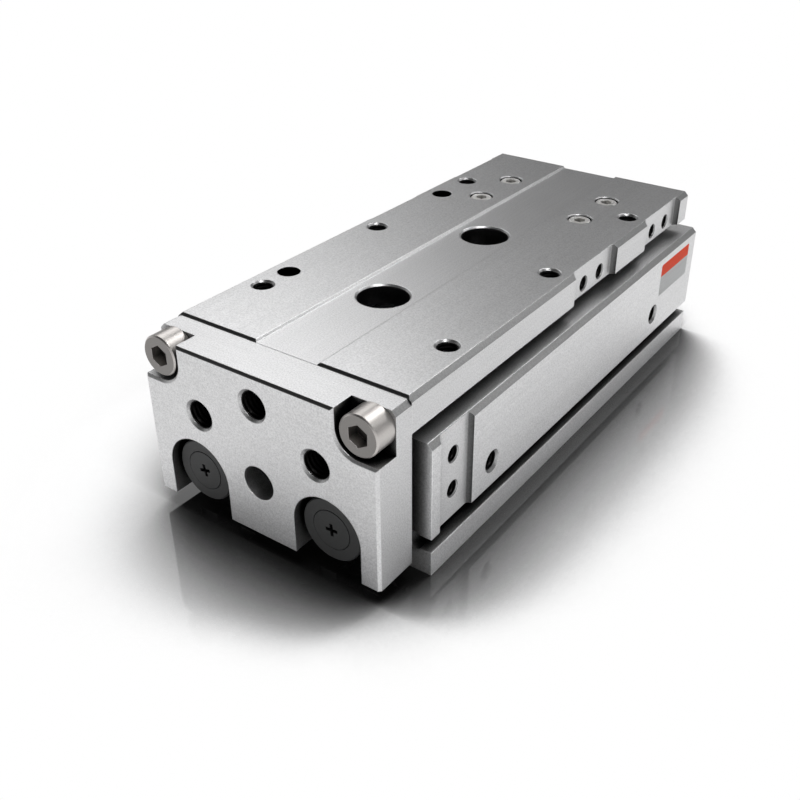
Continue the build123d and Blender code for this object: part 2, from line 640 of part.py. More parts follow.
    for ring_name, ring_y, ring_width, ring_depth, ring_gap in (
        ("piston_seal", SEAL_Y, PISTON_SEAL_WIDTH, PISTON_SEAL_DEPTH, RUNNING_GAP),
        ("piston_magnet", MAGNET_Y, MAGNET_WIDTH, MAGNET_DEPTH, 2 * PISTON_CLEARANCE),
        ("wear_ring", WEAR_Y, WEAR_WIDTH, WEAR_DEPTH, RUNNING_GAP),
    ):
        with BuildPart() as piston_ring:
            with BuildSketch(along(bore_x)):
                ring_profile(PISTON_R - ring_depth + SEAT_GAP, BORE_R - ring_gap, ring_y + SEAT_GAP,
                             ring_y + ring_width - SEAT_GAP)
            revolve(axis=travel_axis(bore_x))
        piston_ring.part.label = f"{name}_{ring_name}"
        export_step(piston_ring.part, f"parts/{name}_{ring_name}.step")

    # Rod: its thinner neck passes the end plate and is tapped for the screw
    with BuildPart() as rod:
        with BuildSketch(along(bore_x)):
            screw_end = DISC_FRONT + ROD_SCREW_LENGTH + DRILL_MARGIN
            with BuildLine():
                Polyline(
                    (DISC_BACK, ROD_SCREW_R + SEAT_GAP),
                    (DISC_BACK, NECK_R),
                    (COLLAR_BACK, NECK_R),
                    (COLLAR_BACK, ROD_R),
                    (ROD_END, ROD_R),
                    (ROD_END, 0),
                    (screw_end, 0),
                    (screw_end, ROD_SCREW_R + SEAT_GAP),
                    close=True,
                )
            make_face()
        revolve(axis=travel_axis(bore_x))
    rod.part.label = f"{name}_rod"
    export_step(rod.part, f"parts/{name}_rod.step")

    with BuildPart() as rod_collar:
        with BuildSketch(along(bore_x)):
            ring_profile(NECK_R + SEAT_GAP, COLLAR_R, COLLAR_FRONT, COLLAR_BACK)
        revolve(axis=travel_axis(bore_x))
    rod_collar.part.label = f"{name}_rod_collar"
    export_step(rod_collar.part, f"parts/{name}_rod_collar.step")

    # Disc in the slot of the end plate, countersunk for its screw
    sink_r = ROD_SCREW_HEAD_R + SINK_GAP
    head_front = DISC_FRONT - ROD_SCREW_RISE
    cone_length = ROD_SCREW_HEAD_R - ROD_SCREW_R
    with BuildPart() as rod_disc:
        with BuildSketch(along(bore_x)):
            with BuildLine():
                Polyline(
                    (DISC_FRONT, sink_r),
                    (DISC_FRONT, DISC_R - DISC_EDGE),
                    (DISC_FRONT + DISC_EDGE, DISC_R),
                    (DISC_BACK, DISC_R),
                    (DISC_BACK, ROD_SCREW_R + SINK_GAP),
                    (DISC_FRONT + ROD_SCREW_RIM + cone_length, ROD_SCREW_R + SINK_GAP),
                    (DISC_FRONT + ROD_SCREW_RIM, sink_r),
                    close=True,
                )
            make_face()
        revolve(axis=travel_axis(bore_x))
    rod_disc.part.label = f"{name}_rod_disc"
    export_step(rod_disc.part, f"parts/{name}_rod_disc.step")

    # Countersunk screw with a cross recess
    with BuildPart() as rod_screw:
        with BuildSketch(along(bore_x)):
            with BuildLine():
                Polyline(
                    (head_front, 0),
                    (head_front, ROD_SCREW_HEAD_R),
                    (DISC_FRONT + ROD_SCREW_RIM - SEAT_GAP, ROD_SCREW_HEAD_R),
                    (DISC_FRONT + ROD_SCREW_RIM + cone_length - SEAT_GAP, ROD_SCREW_R),
                    (DISC_FRONT + ROD_SCREW_LENGTH, ROD_SCREW_R),
                    (DISC_FRONT + ROD_SCREW_LENGTH, 0),
                    close=True,
                )
            make_face()
        revolve(axis=travel_axis(bore_x))
        with BuildSketch(across(head_front)):
            with Locations((bore_x, BORE_Z)):
                Rectangle(CROSS_SPAN, CROSS_WIDTH, rotation=cross_turn)
                Rectangle(CROSS_WIDTH, CROSS_SPAN, rotation=cross_turn)
        extrude(amount=-CROSS_DEPTH, mode=Mode.SUBTRACT, taper=CROSS_TAPER)
    rod_screw.part.label = f"{name}_rod_screw"
    export_step(rod_screw.part, f"parts/{name}_rod_screw.step")

# Plugs in the ports of the left side, with a hexagon socket
with BuildPart() as port_plugs:
    plug_face = -BODY_WIDTH / 2 + PORT_EDGE
    with BuildSketch(side_plane(plug_face)):
        with Locations((FRONT_PORT_Y, PORT_Z), (REAR_PORT_Y, PORT_Z)):
            Circle(PORT_R - SEAT_GAP)
    extrude(amount=PLUG_LENGTH)
    with BuildSketch(side_plane(plug_face)):
        with Locations((FRONT_PORT_Y, PORT_Z), (REAR_PORT_Y, PORT_Z)):
            RegularPolygon(PLUG_HEX / 2, 6, major_radius=False)
    extrude(amount=PLUG_HEX_DEPTH, mode=Mode.SUBTRACT)
port_plugs.part.label = "port_plugs"
export_step(port_plugs.part, "parts/port_plugs.step")

# Steel balls that close the mouths of the drilled air galleries
with BuildPart() as gallery_balls:
    with Locations(*[(x, BODY_REAR - 1.5 * GALLERY_BALL_R, PORT_Z) for x in (-GALLERY_X, GALLERY_X)]):
        Sphere(GALLERY_BALL_R)
gallery_balls.part.label = "gallery_balls"
export_step(gallery_balls.part, "parts/gallery_balls.step")

# Table: a plate with two raised strips, a skirt on each side, pockets and holes
with BuildPart() as table:
    with BuildSketch(across(TABLE_REAR)) as profile:
        with Locations((0, (TABLE_SKIRT_Z + TABLE_TOP) / 2)):
            Rectangle(TABLE_WIDTH, TABLE_TOP - TABLE_SKIRT_Z)
        chamfer(profile.vertices().group_by(Axis.Y)[-1], TABLE_EDGE)
        with BuildLine():
            Polyline(
                (-GROOVE_HALF - GROOVE_DEPTH, TABLE_TOP),
                (-GROOVE_HALF, PLATE_TOP),
                (GROOVE_HALF, PLATE_TOP),
                (GROOVE_HALF + GROOVE_DEPTH, TABLE_TOP),
                close=True,
            )
        make_face(mode=Mode.SUBTRACT)
        with Locations((0, (TABLE_SKIRT_Z + BLOCK_TOP) / 2)):
            Rectangle(2 * CHANNEL_HALF, BLOCK_TOP - TABLE_SKIRT_Z, mode=Mode.SUBTRACT)
    extrude(amount=TABLE_LENGTH)
    strip_ends = table.faces().sort_by(Axis.Y)[0].edges().filter_by(
        lambda edge: edge.center().Z > PLATE_TOP + GROOVE_DEPTH / 2
    )
    chamfer(strip_ends, GROOVE_DEPTH)
    # Pockets in both skirts, as a stroke adjuster needs them, with two tapped holes each
    with BuildSketch(Plane.XY.offset(TABLE_SKIRT_Z)):
        reach = 4 * TABLE_CUTTER_R
        cut_x = TABLE_POCKET_X + reach / 2
        with Locations(*[
            (side * cut_x, start + TABLE_POCKET_LENGTH / 2) for side in (-1, 1) for start in TABLE_POCKETS
        ]):
            RectangleRounded(reach, TABLE_POCKET_LENGTH, TABLE_CUTTER_R)
    extrude(amount=TABLE_TOP - TABLE_SKIRT_Z, mode=Mode.SUBTRACT)
    for _, side, _ in SIDES:
        with Locations(side_face(side, TABLE_POCKET_X)):
            with Locations(*[
                (side * (start + TABLE_POCKET_LENGTH / 2 + step * STOP_HOLE_PITCH / 2), TABLE_STOP_HOLE_Z)
                for start in TABLE_POCKETS
                for step in (-1, 1)
            ]):
                CounterSinkHole(STOP_HOLE_R, STOP_HOLE_R + STOP_HOLE_EDGE,
                                depth=TABLE_POCKET_X - CHANNEL_HALF - TABLE_STOP_HOLE_WALL)
    # Payload holes
    with Locations(*[
        (side * TOP_HOLE_X, y, TABLE_TOP) for side in (-1, 1) for y in TOP_HOLE_YS
    ]):
        CounterSinkHole(TOP_TAP_R, TOP_TAP_R + TOP_TAP_EDGE, depth=TABLE_TOP - TABLE_SKIRT_Z)
    with Locations(*[(-TOP_HOLE_X, y, TABLE_TOP) for y in DOWEL_YS]):
        Hole(DOWEL_R, depth=DOWEL_DEPTH)
    # Access to the mounting holes of the body
    with Locations(*[(0, y, PLATE_TOP) for y in MOUNT_YS]):
        CounterSinkHole(BOLT_ACCESS_R, BOLT_ACCESS_R + ACCESS_EDGE, depth=PLATE_TOP - BLOCK_TOP)
    # Counterbored holes over the guide block
    with Locations(*[(x, y, TABLE_TOP) for x, y in BLOCK_SCREWS]):
        CounterSinkHole(BLOCK_BORE_R, BLOCK_BORE_R + BLOCK_BORE_EDGE, depth=BLOCK_BORE_DEPTH)
        Hole(BLOCK_SCREW_R + 2 * RUNNING_GAP, depth=TABLE_TOP - BLOCK_TOP)
    # Tapped holes for the bolts of the end plate
    with BuildSketch(across(PLATE_BACK)):
        with Locations(*PLATE_BOLTS):
            Circle(PLATE_BOLT_R + SEAT_GAP)
    extrude(amount=-(PLATE_BOLT_LENGTH + NOTCH_DEPTH - PLATE_THICKNESS + DRILL_MARGIN), mode=Mode.SUBTRACT)
table.part.label = "table"
export_step(table.part, "parts/table.step")

# End plate: chamfered outline, notches for the bolt heads and stepped slots for the rod ends
with BuildPart() as end_plate:
    with BuildSketch(across(PLATE_BACK)) as outline:
        with Locations((0, (PLATE_BOTTOM + PLATE_TOP) / 2)):
            Rectangle(TABLE_WIDTH, PLATE_TOP - PLATE_BOTTOM)
        chamfer(outline.vertices().group_by(Axis.Y)[-1], TABLE_EDGE)
    extrude(amount=PLATE_THICKNESS)
    with BuildSketch(across(PLATE_FRONT)):
        for _, side, _ in SIDES:
            with BuildLine():
                notch_x = side * (PLATE_BOLT_X - NOTCH_R)
                notch_z = PLATE_BOLT_Z - NOTCH_R
                outer_x = side * TABLE_WIDTH
                Line((notch_x, TABLE_TOP + 1), (notch_x, PLATE_BOLT_Z))
                RadiusArc((notch_x, PLATE_BOLT_Z), (side * PLATE_BOLT_X, notch_z), -side * NOTCH_R)
                Polyline(
                    (side * PLATE_BOLT_X, notch_z),
                    (outer_x, notch_z),
                    (outer_x, TABLE_TOP + 1),
                    (notch_x, TABLE_TOP + 1),
                )
            make_face()
    extrude(amount=-NOTCH_DEPTH, mode=Mode.SUBTRACT)
    front_face = end_plate.faces().sort_by(Axis.Y)[0]
    chamfer(front_face.edges().filter_by(lambda edge: edge.center().Z > PLATE_BOTTOM + 1), PLATE_EDGE)
    # Stepped slots: wide in front for the discs, narrow behind for the necks of the rods
    for slot_half, slot_depth in ((SLOT_HALF, SLOT_DEPTH), (NECK_R + NECK_SLOT_GAP, PLATE_THICKNESS)):
        with BuildSketch(across(PLATE_FRONT)):
            with Locations(*BORES):
                Circle(slot_half)
                Rectangle(2 * slot_half, BORE_Z, align=(Align.CENTER, Align.MAX))
        extrude(amount=-slot_depth, mode=Mode.SUBTRACT)
    # Clearance holes of the bolts, payload holes and the plain hole
    front_plane = across(PLATE_FRONT)
    with BuildSketch(front_plane):
        with Locations(*PLATE_BOLTS):
            Circle(PLATE_BOLT_R + 2 * RUNNING_GAP)
        with Locations((0, PLATE_LOW_HOLE_Z)):
            Circle(PLATE_LOW_HOLE_R)
    extrude(amount=-PLATE_THICKNESS, mode=Mode.SUBTRACT)
    with Locations(front_plane):
        with Locations(*PLATE_HOLES):
            CounterSinkHole(PLATE_HOLE_R, PLATE_HOLE_R + PLATE_HOLE_EDGE, depth=PLATE_THICKNESS)
end_plate.part.label = "end_plate"
export_step(end_plate.part, "parts/end_plate.step")

# Bolts of the end plate, seated in its notches
with BuildPart() as end_plate_bolts:
    bolt_seat = PLATE_FRONT + NOTCH_DEPTH
    with BuildSketch(across(bolt_seat)):
        with Locations(*PLATE_BOLTS):
            Circle(PLATE_BOLT_HEAD_R)
    extrude(amount=PLATE_BOLT_HEAD)
    chamfer(end_plate_bolts.faces().group_by(Axis.Y)[0].edges(), HEAD_EDGE)
    with BuildSketch(across(bolt_seat)):
        with Locations(*PLATE_BOLTS):
            Circle(PLATE_BOLT_R)
    extrude(amount=-PLATE_BOLT_LENGTH)
    with BuildSketch(across(bolt_seat - PLATE_BOLT_HEAD)):
        with Locations(*PLATE_BOLTS):
            RegularPolygon(PLATE_BOLT_HEX / 2, 6, major_radius=False, rotation=30)
    extrude(amount=-PLATE_BOLT_HEAD / 2, mode=Mode.SUBTRACT)
end_plate_bolts.part.label = "end_plate_bolts"
export_step(end_plate_bolts.part, "parts/end_plate_bolts.step")


def guide_profile(profile, half_width, top, bottom, rail_gap):
    """Draws the outline of the guide block or of its caps: chamfered, and open below for the rail."""
    with Locations((0, (top + bottom) / 2)):
        Rectangle(2 * half_width, top - bottom)
    chamfer(profile.vertices(), BLOCK_EDGE)
    with Locations((0, bottom)):
        Rectangle(RAIL_WIDTH + 2 * rail_gap, 2 * (RAIL_TOP + rail_gap - bottom), mode=Mode.SUBTRACT)


# Guide block: straddles the rail, with load races and ball returns drilled through its legs
with BuildPart() as guide_block:
    with BuildSketch(across(BLOCK_Y + BLOCK_LENGTH / 2)) as profile:
        guide_profile(profile, BLOCK_WIDTH / 2, BLOCK_TOP, BLOCK_BOTTOM, RAIL_GAP)
        with Locations((-BALL_X, BALL_Z), (BALL_X, BALL_Z)):
            Circle(RACE_R, mode=Mode.SUBTRACT)
        with Locations((-RETURN_X, BALL_Z), (RETURN_X, BALL_Z)):
            Circle(RACE_R, mode=Mode.SUBTRACT)
    extrude(amount=BLOCK_LENGTH)
    with Locations(*[(x, y, BLOCK_TOP) for x, y in BLOCK_SCREWS]):
        Hole(BLOCK_SCREW_R + SEAT_GAP, depth=BLOCK_TOP - RAIL_TOP)
    for end in (-1, 1):
        with BuildSketch(across(BLOCK_Y + end * BLOCK_LENGTH / 2)):
            with Locations(*CAP_SCREWS):
                Circle(CAP_SCREW_R + SEAT_GAP)
        cap_screw_reach = CAP_SCREW_LENGTH - END_CAP_LENGTH - SCRAPER_THICKNESS
        extrude(amount=end * (cap_screw_reach + DRILL_MARGIN), mode=Mode.SUBTRACT)
guide_block.part.label = "guide_block"
export_step(guide_block.part, "parts/guide_block.step")

# End caps turn the balls round from the load race to the return, and scrapers seal the ends
for name, end in (("front", -1), ("rear", 1)):
    block_end = BLOCK_Y + end * BLOCK_LENGTH / 2
    cap_end = block_end + end * END_CAP_LENGTH
    scraper_end = cap_end + end * SCRAPER_THICKNESS

    with BuildPart() as end_cap:
        with BuildSketch(across(cap_end)) as profile:
            guide_profile(profile, BLOCK_WIDTH / 2 - END_CAP_INSET, BLOCK_TOP - END_CAP_INSET,
                          BLOCK_BOTTOM + END_CAP_INSET, RAIL_GAP + END_CAP_INSET)
        extrude(amount=end * END_CAP_LENGTH)
        for side in (-1, 1):
            turn_x = side * (BALL_X + RETURN_X) / 2
            with BuildSketch(across(block_end)):
                with Locations((side * RETURN_X, BALL_Z)):
                    Circle(RACE_R)
            revolve(axis=Axis((turn_x, block_end, BALL_Z), (0, 0, 1)), revolution_arc=360, mode=Mode.SUBTRACT)
        with BuildSketch(across(cap_end)):
            with Locations(*CAP_SCREWS):
                Circle(CAP_SCREW_R + 2 * RUNNING_GAP)
        extrude(amount=end * END_CAP_LENGTH, mode=Mode.SUBTRACT)
    end_cap.part.label = f"{name}_end_cap"
    export_step(end_cap.part, f"parts/{name}_end_cap.step")

    with BuildPart() as scraper:
        with BuildSketch(across(scraper_end)) as profile:
            guide_profile(profile, BLOCK_WIDTH / 2 - SCRAPER_INSET, BLOCK_TOP - SCRAPER_INSET,
                          BLOCK_BOTTOM + SCRAPER_INSET, 2 * RUNNING_GAP)
            with Locations(*CAP_SCREWS):
                Circle(CAP_SCREW_R + 2 * RUNNING_GAP, mode=Mode.SUBTRACT)
        extrude(amount=end * SCRAPER_THICKNESS)
    scraper.part.label = f"{name}_scraper"
    export_step(scraper.part, f"parts/{name}_scraper.step")

# Small screws of the end caps
with BuildPart() as end_cap_screws:
    for end in (-1, 1):
        head_seat = BLOCK_Y + end * (BLOCK_LENGTH / 2 + END_CAP_LENGTH + SCRAPER_THICKNESS)
        with BuildSketch(across(head_seat)):
            with Locations(*CAP_SCREWS):
                Circle(CAP_SCREW_HEAD_R)
        extrude(amount=-end * CAP_SCREW_HEAD)
        with BuildSketch(across(head_seat)):
            with Locations(*CAP_SCREWS):
                Circle(CAP_SCREW_R)
        extrude(amount=end * CAP_SCREW_LENGTH)
end_cap_screws.part.label = "end_cap_screws"
export_step(end_cap_screws.part, "parts/end_cap_screws.step")

# Loaded ball rows between the rail and the block
BALL_COUNT = int((BLOCK_LENGTH - 2 * BALL_R) // BALL_PITCH) + 1
for name, side, _ in SIDES:
    with BuildPart() as ball_row:
        with Locations(*[
            (side * BALL_X, BLOCK_Y + (ball - (BALL_COUNT - 1) / 2) * BALL_PITCH, BALL_Z)
            for ball in range(BALL_COUNT)
        ]):
            Sphere(BALL_R)
    ball_row.part.label = f"{name}_ball_row"
    export_step(ball_row.part, f"parts/{name}_ball_row.step")

# Screws that hold the guide block, sunk in the table
with BuildPart() as block_screws:
    head_bottom = TABLE_TOP - BLOCK_BORE_DEPTH
    with BuildSketch(Plane.XY.offset(head_bottom)):
        with Locations(*BLOCK_SCREWS):
            Circle(BLOCK_SCREW_HEAD_R)
    extrude(amount=BLOCK_SCREW_HEAD)
    chamfer(block_screws.faces().group_by(Axis.Z)[-1].edges(), HEAD_EDGE)
    with BuildSketch(Plane.XY.offset(head_bottom)):
        with Locations(*BLOCK_SCREWS):
            Circle(BLOCK_SCREW_R)
    extrude(amount=-BLOCK_SCREW_LENGTH)
    with BuildSketch(Plane.XY.offset(head_bottom + BLOCK_SCREW_HEAD)):
        with Locations(*BLOCK_SCREWS):
            RegularPolygon(BLOCK_SCREW_HEX / 2, 6, major_radius=False)
    extrude(amount=-BLOCK_SCREW_HEAD / 2, mode=Mode.SUBTRACT)
block_screws.part.label = "block_screws"
export_step(block_screws.part, "parts/block_screws.step")
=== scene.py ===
import math

import bpy
from mathutils import Matrix, Vector


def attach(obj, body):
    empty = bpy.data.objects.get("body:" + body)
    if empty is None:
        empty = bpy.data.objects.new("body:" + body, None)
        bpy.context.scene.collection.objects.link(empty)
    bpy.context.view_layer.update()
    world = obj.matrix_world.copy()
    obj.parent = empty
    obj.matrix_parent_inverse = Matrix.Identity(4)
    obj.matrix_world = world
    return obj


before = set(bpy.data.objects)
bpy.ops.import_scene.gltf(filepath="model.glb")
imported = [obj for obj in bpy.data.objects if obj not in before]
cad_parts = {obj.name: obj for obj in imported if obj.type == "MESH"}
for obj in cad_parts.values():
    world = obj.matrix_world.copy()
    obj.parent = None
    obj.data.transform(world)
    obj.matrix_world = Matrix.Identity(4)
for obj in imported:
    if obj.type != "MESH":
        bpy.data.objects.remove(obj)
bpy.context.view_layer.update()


# Body: an extruded aluminium block with two bores, machined all over, bead-blasted and clear anodised.
# The anodic layer is satin, with a fine grain; edges are broken and painted a little lighter, partly wear and partly
# painted highlight, and recesses get painted shade.

MM = 0.001
BODY_SIDE_X = 31.0
BODY_POCKET_X = 30.0
LINES_ALONG = (1.0, 0.02, 1.0)


def add_node(tree, kind, inputs=None, **settings):
    """Adds a node; inputs maps its sockets, by name or number, to values or to other nodes' outputs."""
    node = tree.nodes.new(kind)
    for key, value in settings.items():
        setattr(node, key, value)
    for key, value in (inputs or {}).items():
        if isinstance(value, bpy.types.NodeSocket):
            tree.links.new(value, node.inputs[key])
        else:
            node.inputs[key].default_value = value
    return node


def new_finish(name, metallic):
    """An empty finish with its shader and the place on the piece."""
    mat = bpy.data.materials.new(name)
    mat.use_nodes = True
    tree = mat.node_tree
    shader = tree.nodes["Principled BSDF"]
    shader.inputs["Metallic"].default_value = metallic
    place = add_node(tree, "ShaderNodeTexCoord").outputs["Object"]
    return mat, tree, shader, place


def set_surface(tree, shader, shade, rough, height, strength, depth, normal=None):
    """Gives the shader its colour, its roughness and a bump on the normal, whose depth is in mm."""
    bump = {"Height": height, "Strength": strength, "Distance": depth * MM}
    if normal is not None:
        bump["Normal"] = normal
    raised = add_node(tree, "ShaderNodeBump", bump).outputs["Normal"]
    for socket, value in (("Base Color", shade), ("Roughness", rough), ("Normal", raised)):
        tree.links.new(value, shader.inputs[socket])


def work_out(tree, how, first, second=0.0):
    """One step of arithmetic, of the kind that how names."""
    return add_node(tree, "ShaderNodeMath", {0: first, 1: second}, operation=how).outputs[0]


def times(tree, *values):
    """Multiplies values together."""
    product = values[0]
    for value in values[1:]:
        product = work_out(tree, "MULTIPLY", product, value)
    return product


def tint(tree, colour, *shares):
    """Scales a colour by the product of the shares."""
    return add_node(tree, "ShaderNodeVectorMath", {
        0: colour, "Scale": times(tree, *shares),
    }, operation="SCALE").outputs[0]


def spread(tree, value, low, high, to_low, to_high, **easing):
    """Stretches a value from low..high to to_low..to_high, and keeps it there."""
    return add_node(tree, "ShaderNodeMapRange", {
        "Value": value, "From Min": low, "From Max": high, "To Min": to_low, "To Max": to_high,
    }, **easing).outputs["Result"]


def pick(tree, mask, off, on):
    """Off where the mask is 0, on where it is 1, and between them where it is between."""
    return spread(tree, mask, 0.0, 1.0, off, on)


def vary(tree, pattern, low, high):
    """Values from low to high that follow a noise, most of which lies between 0.3 and 0.7."""
    return spread(tree, pattern, 0.3, 0.7, low, high)


def noise(tree, place, scale, detail=2.0, rough=0.55, stretch=None):
    """Noise on the piece's own coordinates, drawn out along an axis where stretch says so."""
    if stretch:
        place = add_node(tree, "ShaderNodeMapping", {"Vector": place, "Scale": stretch}).outputs[0]
    return add_node(tree, "ShaderNodeTexNoise", {
        "Vector": place, "Scale": scale, "Detail": detail, "Roughness": rough,
    }).outputs["Fac"]


def axes(tree, vector):
    """The X, Y and Z of a vector."""
    return add_node(tree, "ShaderNodeSeparateXYZ", {0: vector}).outputs


def facing(tree, normal="True Normal"):
    """The X, Y and Z of the way in which the surface looks."""
    return axes(tree, add_node(tree, "ShaderNodeNewGeometry").outputs[normal])


def openness(tree, reach, samples=8, alone=False):
    """How open the surroundings are within a reach in mm, from 0 to 1. Alone, only the piece itself covers."""
    return add_node(tree, "ShaderNodeAmbientOcclusion", {
        "Distance": reach * MM,
    }, samples=samples, only_local=alone).outputs["AO"]


def painted_recess_shade(tree, reach, floor, low=0.25, high=0.85, corner=1.0, alone=True, falloff=1.0):
    """Painted shade in recesses and inner corners, where less light reaches: 1 where the openness within reach is
    high or more, down to floor where it is low or less, bent by falloff. Corner is the painted shade along inner
    corners.
    Not alone, the gaps to the pieces beside it count too."""
    corner_reach, in_corner, on_flat = 1.6, 0.66, 0.985
    wide = spread(tree, openness(tree, reach, alone=alone), low, high, floor, 1.0)
    tight = spread(tree, openness(tree, corner_reach, alone=True), in_corner, on_flat, corner, 1.0)
    return times(tree, work_out(tree, "POWER", wide, falloff), tight)


def broken_edge(tree, radius):
    """The softened normal at an edge that is broken by a radius in mm, and a mask that is 1 on the edge, from
    how far that normal turns away from the face's own."""
    on_face, on_edge = 0.995, 0.80
    soft = add_node(tree, "ShaderNodeBevel", {"Radius": radius * MM}, samples=6).outputs["Normal"]
    true = add_node(tree, "ShaderNodeNewGeometry").outputs["True Normal"]
    along = add_node(tree, "ShaderNodeVectorMath", {0: soft, 1: true}, operation="DOT_PRODUCT").outputs["Value"]
    return soft, spread(tree, along, on_face, on_edge, 0.0, 1.0)


def painted_pocket_corner_shade(tree, place, pocket_x, front, rear):
    """Painted shade on the round corners that the cutter leaves in the side pockets, outside pocket_x and between
    front and rear, in mm, and 1 elsewhere."""
    depth, shade = 0.05, 0.22
    at = axes(tree, place)
    turned = work_out(tree, "ABSOLUTE", facing(tree, "Normal")["Y"])
    corners = times(
        tree, spread(tree, turned, 0.03, 0.45, 0.0, 1.0),
        work_out(tree, "GREATER_THAN", work_out(tree, "ABSOLUTE", at["X"]), (pocket_x - depth) * MM),
        work_out(tree, "GREATER_THAN", at["Y"], front * MM),
        work_out(tree, "LESS_THAN", at["Y"], rear * MM),
    )
    return pick(tree, corners, 1.0, shade)


def painted_chamfer_shade(tree, place):
    """Painted shade on the chamfers of the outer edges, 1 elsewhere: the long ones at the sides a little darker than
    the flats, and those at the front of the top nearly black."""
    sides, front, top = 26.5, -46.0, 38.5
    flat, slanted = 0.30, 0.42
    long_shade, front_shade = 0.50, 0.20
    at = axes(tree, place)
    looks = facing(tree)
    sideways = work_out(tree, "ABSOLUTE", times(tree, looks["X"], looks["Z"]))
    long_ones = times(
        tree, spread(tree, sideways, flat, slanted, 0.0, 1.0),
        work_out(tree, "GREATER_THAN", work_out(tree, "ABSOLUTE", at["X"]), sides * MM),
    )
    front_ones = times(
        tree, spread(tree, times(tree, looks["Y"], looks["Z"]), -slanted, -flat, 1.0, 0.0),
        work_out(tree, "LESS_THAN", at["Y"], front * MM),
        work_out(tree, "GREATER_THAN", at["Z"], top * MM),
    )
    return times(tree, pick(tree, long_ones, 1.0, long_shade), pick(tree, front_ones, 1.0, front_shade))


def covered_front(tree):
    """Painted shade on the faces that look forward, 1 elsewhere: dark where a piece stands close in front of them.
    """
    reach, darkest = 7.0, 0.12
    near = spread(tree, openness(tree, reach), 0.15, 0.75, darkest, 1.0)
    forward = spread(tree, facing(tree)["Y"], -0.95, -0.80, 1.0, 0.0)
    return pick(tree, forward, 1.0, near)


def anodised_finish(name, colour, satin, lay, painted_shades=None, **painted_hollow_shade):
    """Blasted and anodised aluminium: grain in shade and height over faint milling lines along lay, cloudy gloss,
    edges painted lighter, partly wear and partly painted highlight, and painted shade on the outer chamfers.
    The piece's own painted shade and the painted shade of its recesses are passed in."""
    mat, tree, shader, place = new_finish(name, 1.0)
    soft, edge = broken_edge(tree, 0.28)
    grain = noise(tree, place, 3300.0, 1.5, 0.6)
    lines = noise(tree, place, 1500.0, 2.0, 0.5, lay)
    cloud = noise(tree, place, 60.0, 3.0)
    blotch = noise(tree, place, 420.0, 2.0)
    shade = tint(
        tree, colour,
        spread(tree, grain, 0.28, 0.72, 0.84, 1.13),
        vary(tree, lines, 0.97, 1.02),
        vary(tree, cloud, 0.985, 1.01),
        # painted shade in recesses, edges painted lighter (wear and painted highlight), painted chamfer and piece
        # shade
        painted_recess_shade(tree, floor=0.01, **painted_hollow_shade),
        pick(tree, edge, 1.0, 1.22),
        painted_chamfer_shade(tree, place),
        *(painted_shades(tree, place) if painted_shades else ()),
    )
    rough = work_out(tree, "ADD", vary(tree, blotch, satin - 0.012, satin + 0.015), pick(tree, edge, 0.0, -0.10))
    set_surface(tree, shader, shade, rough, grain, 0.35, 0.02, soft)
    return mat


def body_painted_shades(tree, place):
    """Painted shade on the corners of the two front pockets, and on the front behind the end plate."""
    return painted_pocket_corner_shade(tree, place, BODY_POCKET_X, -45.0, -33.0), covered_front(tree)


def dress(finish, *names):
    """Gives CAD nodes a finish."""
    for name in names:
        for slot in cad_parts[name].material_slots:
            slot.material = finish


dress(anodised_finish(
    "body_anodised", (0.85, 0.85, 0.855), 0.42, LINES_ALONG, body_painted_shades, reach=5.0, low=0.42, high=0.96, corner=0.30,
), "body")


# Tapped holes of the body: two M5 ports and two pairs of M4 holes in the sides, and M6 holes in the base.
# The threads are cut after anodising, so they are bare metal; their near-black colour is painted shade in the holes.

PORT_YS = (-25.9, 53.8)
PORT_Z = 14.35
STOP_HOLE = {"radius": 1.65, "pitch": 0.7, "lead": 0.28, "length": 4.9}
ROWS_PER_TURN = 6
BACK_ROWS = 3


